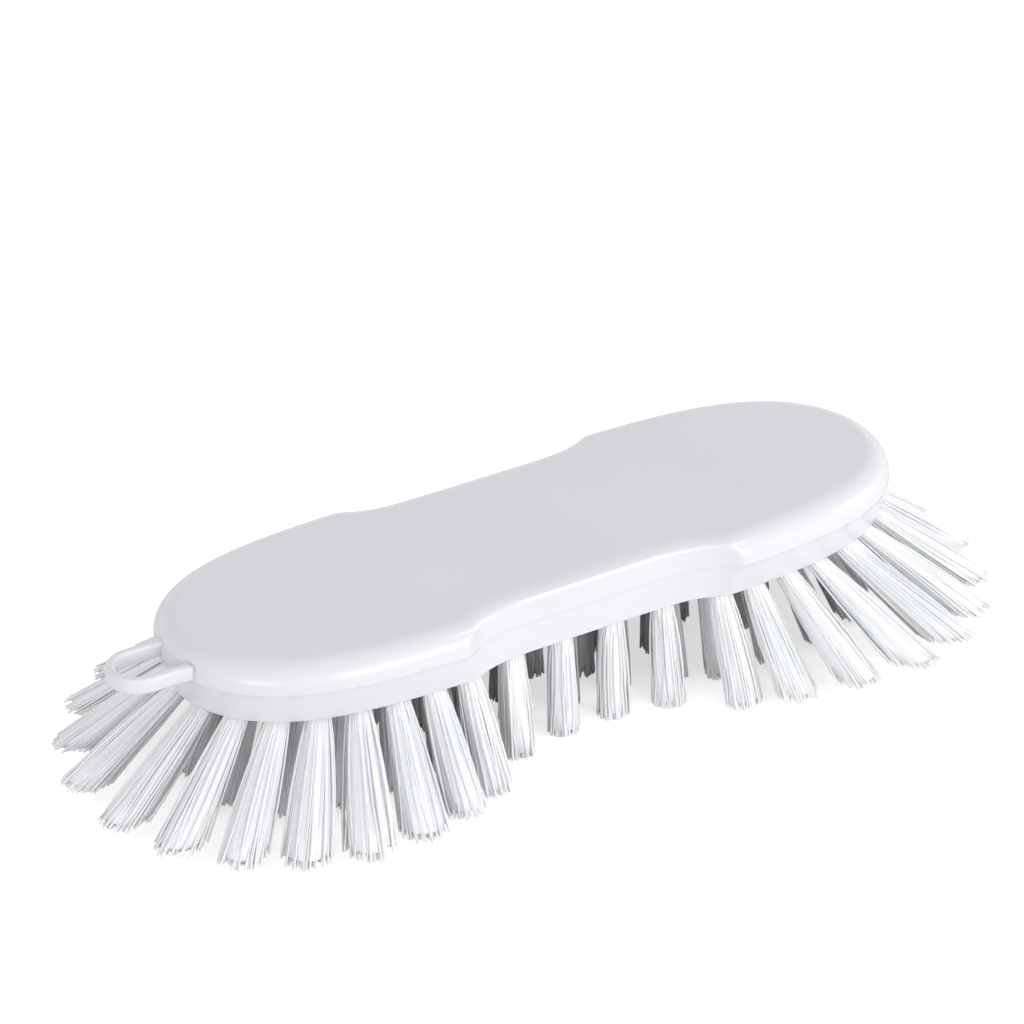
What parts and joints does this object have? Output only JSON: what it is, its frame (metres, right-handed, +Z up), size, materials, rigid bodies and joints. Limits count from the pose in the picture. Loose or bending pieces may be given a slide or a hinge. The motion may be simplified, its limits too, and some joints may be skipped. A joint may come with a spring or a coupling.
{
  "type": "scrub brush",
  "caption": "Hand scrub brush with a waisted block, finger recesses, a hanging loop and flared filament tufts set in blind holes.",
  "frame": {"origin": "middle of the brush on the plane of the upright tufts' tips", "axes": "+X along the block to the plain end, away from the hanging loop; +Y across the block, away from the camera; +Z up, from the tips to the flat top"},
  "size_m": [0.252, 0.1214, 0.044],
  "materials": {
    "block_plastic": "satin moulded white polypropylene",
    "filament": "satin translucent white filament",
    "anchor_steel": "plain flat wire"
  },
  "bodies": {
    "root": {"block": "block_plastic", "hanging_loop": "block_plastic", "outer_loop_end": "filament", "outer_loop_front": "filament", "outer_loop_back": "filament", "outer_grip_front": "filament", "outer_grip_back": "filament", "outer_plain_front": "filament", "outer_plain_back": "filament", "outer_plain_end": "filament", "second_loop_end": "filament", "second_loop_front": "filament", "second_loop_back": "filament", "second_grip_front": "filament", "second_grip_back": "filament", "second_plain_front": "filament", "second_plain_back": "filament", "second_plain_end": "filament", "core_loop": "filament", "core_grip": "filament", "core_plain": "filament", "anchors_outer": "anchor_steel", "anchors_second": "anchor_steel", "anchors_core": "anchor_steel"}
  },
  "joints": []
}
